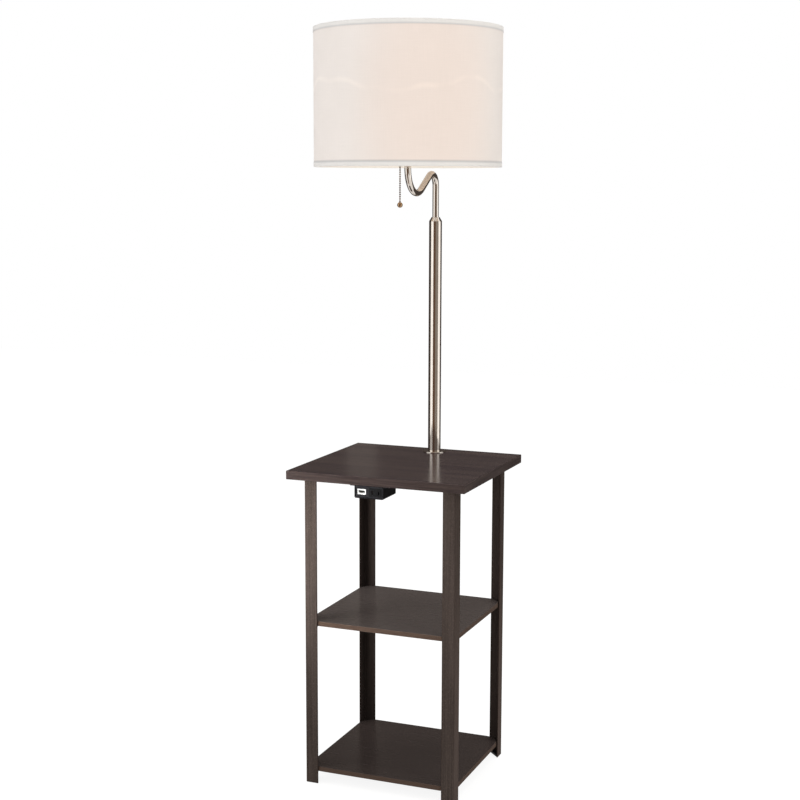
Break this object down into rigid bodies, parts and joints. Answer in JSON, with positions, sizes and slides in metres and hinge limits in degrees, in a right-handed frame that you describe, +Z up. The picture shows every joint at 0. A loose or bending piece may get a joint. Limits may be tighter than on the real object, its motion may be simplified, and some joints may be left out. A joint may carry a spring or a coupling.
{
  "type": "floor lamp with table",
  "caption": "Slim pole lamp with a drum shade on a curved swivel arm, standing on a square side table with shelves and a power box under its top.",
  "frame": {"origin": "on the floor under the middle of the whole footprint of table and shade", "axes": "+Z up; -Y is the front, where the power box and the lamp head are; +X is to the right seen from the front"},
  "size_m": [0.359, 0.358, 1.435],
  "materials": {
    "espresso_wood": "satin dark-stained veneer",
    "espresso_shelf": "satin dark-stained board",
    "bronze_paint": "satin bronze-brown powder coat",
    "satin_nickel": "brushed nickel plate",
    "bright_nickel": "polished nickel plate",
    "zinc_steel": "zinc plated steel",
    "black_plastic": "fine matt moulded plastic",
    "phenolic": "moulded phenolic",
    "white_plastic": "white moulded plastic",
    "nylon": "natural nylon",
    "contact_brass": "bare brass",
    "circuit_board": "green solder mask",
    "linen_fabric": "off-white linen weave",
    "hem_tape": "off-white folded tape",
    "styrene_lining": "translucent white styrene sheet",
    "frosted_glass": "frosted inside",
    "bulb_cap_metal": "bright rolled aluminium"
  },
  "bodies": {
    "base": {"tabletop": "espresso_wood", "leg_front_left": "bronze_paint", "leg_front_right": "bronze_paint", "leg_back_left": "bronze_paint", "leg_back_right": "bronze_paint", "middle_shelf": "espresso_shelf", "bottom_shelf": "espresso_shelf", "tabletop_brackets": "bronze_paint", "middle_shelf_brackets": "bronze_paint", "bottom_shelf_brackets": "bronze_paint", "tabletop_screws": "zinc_steel", "middle_shelf_screws": "zinc_steel", "bottom_shelf_screws": "zinc_steel", "pole_tube": "satin_nickel", "pole_foot_flange": "satin_nickel", "pole_foot_plug": "zinc_steel", "pole_stud": "zinc_steel", "clamp_washer": "zinc_steel", "clamp_nut": "zinc_steel", "pole_cone_cap": "satin_nickel", "swivel_bushing": "nylon", "swivel_stop_pin": "zinc_steel", "power_box_housing": "black_plastic", "power_box_face": "black_plastic", "power_box_screws": "zinc_steel", "usb_port": "white_plastic", "usb_tongue": "black_plastic", "outlet_insert": "black_plastic", "outlet_contacts": "contact_brass", "charger_board": "circuit_board", "cord_inlet_gland": "black_plastic"},
    "arm": {"arm_tube": "satin_nickel", "swivel_stud": "zinc_steel", "swivel_stop_washer": "zinc_steel", "swivel_lock_nut": "zinc_steel", "head_nipple": "zinc_steel", "harp_saddle": "bright_nickel", "socket_cap": "bright_nickel", "socket_shell": "bright_nickel", "socket_body": "phenolic", "socket_screw_shell": "contact_brass", "chain_guide": "bright_nickel", "harp": "bright_nickel", "finial": "bright_nickel", "shade_spider": "bright_nickel", "shade_top_ring": "bright_nickel", "shade_bottom_ring": "bright_nickel", "shade_fabric": "linen_fabric", "shade_liner": "styrene_lining", "shade_top_hem": "hem_tape", "shade_bottom_hem": "hem_tape", "bulb_globe": "frosted_glass", "bulb_base": "bulb_cap_metal"},
    "switch": {"switch_pull": "bright_nickel"},
    "chain": {"pull_chain": "bright_nickel", "chain_ball": "bright_nickel"}
  },
  "joints": [
    {"name": "arm_swivel", "type": "hinge", "parent": "base", "child": "arm", "pos_m": [0.0035, 0.145, 1.0855], "axis": [0, 0, 1], "range_deg": [-165, 165]},
    {"name": "switch_slide", "type": "slide", "parent": "arm", "child": "switch", "axis": [0, 0, -1], "range_m": [0, 0.008], "stiffness_N_per_m": 300, "springref_m": -0.004},
    {"name": "chain_swing", "type": "hinge", "parent": "switch", "child": "chain", "pos_m": [-0.00271, -0.02618, 1.18385], "axis": [-0.2588, -0.9659, 0], "range_deg": [-25, 25]}
  ]
}
